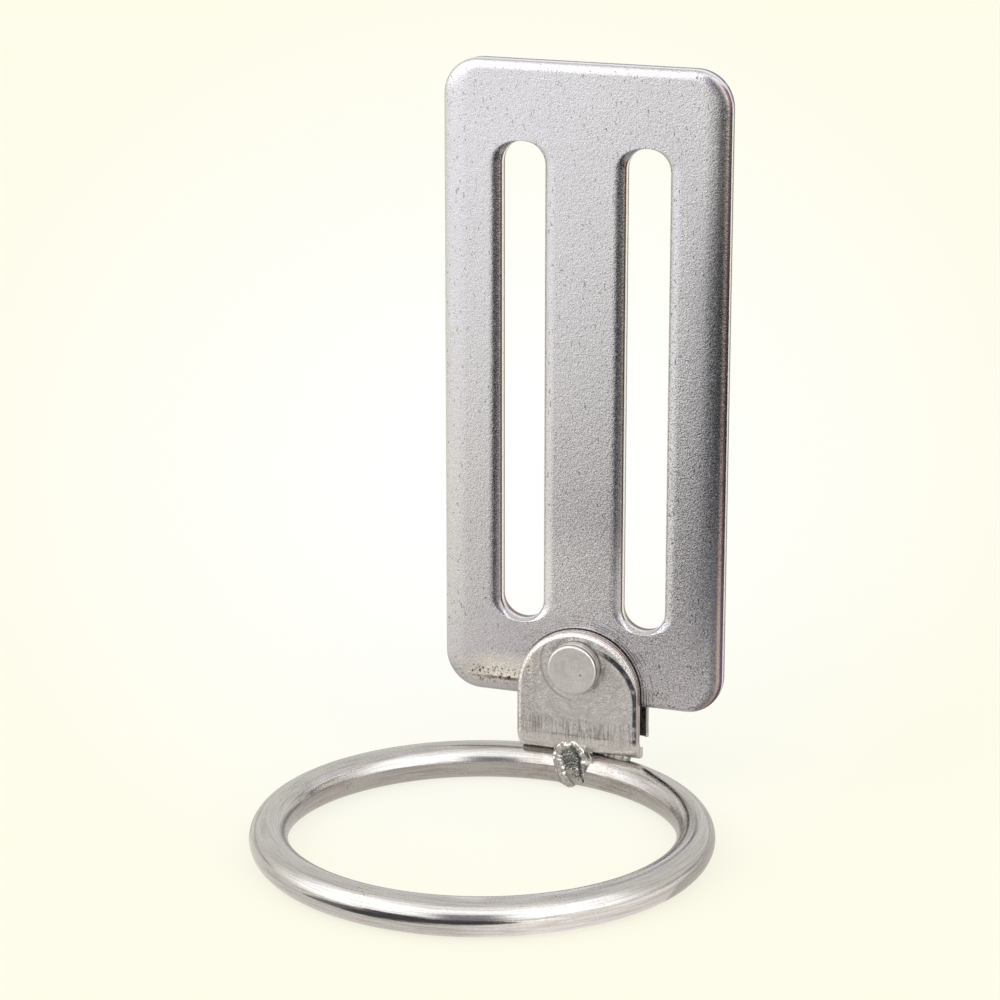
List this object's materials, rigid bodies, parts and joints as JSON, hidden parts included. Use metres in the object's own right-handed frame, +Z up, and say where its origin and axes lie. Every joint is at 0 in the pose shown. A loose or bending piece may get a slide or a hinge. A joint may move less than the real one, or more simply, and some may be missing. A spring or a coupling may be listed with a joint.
{
  "type": "tool belt ring",
  "caption": "Work belt tool holder: a flat steel plate with long belt slots, riveted so that it swivels in a folded sheet bracket that is welded to a round wire ring.",
  "frame": {"origin": "on the surface that the ring lies on, under the middle of the part's box: right under the middle of the ring from left to right", "axes": "+Z up along the plate, -Y towards the ring's front, +X to the right of someone who faces the plate's front"},
  "size_m": [0.06, 0.0612, 0.0984],
  "materials": {
    "plate_steel": "satin stainless steel, barrel polished, with fine scratches and small pits",
    "bracket_steel": "satin stainless steel, barrel polished, with upright press marks above the fold",
    "rivet_steel": "satin stainless steel with a bright rim",
    "ring_steel": "bright stainless wire with streaks along its length, tinted by heat near the weld",
    "weld_metal": "rough grey weld metal with a bright rim"
  },
  "bodies": {
    "ring_and_bracket": {"tool_ring": "ring_steel", "swivel_bracket": "bracket_steel", "pivot_rivet": "rivet_steel", "front_weld": "weld_metal", "rear_weld": "weld_metal"},
    "plate": {"belt_plate": "plate_steel"}
  },
  "joints": [
    {"name": "plate_swivel", "type": "hinge", "parent": "ring_and_bracket", "child": "plate", "pos_m": [0.00449, 0.02652, 0.018], "axis": [0, 1, 0], "range_deg": [-25, 25]}
  ]
}
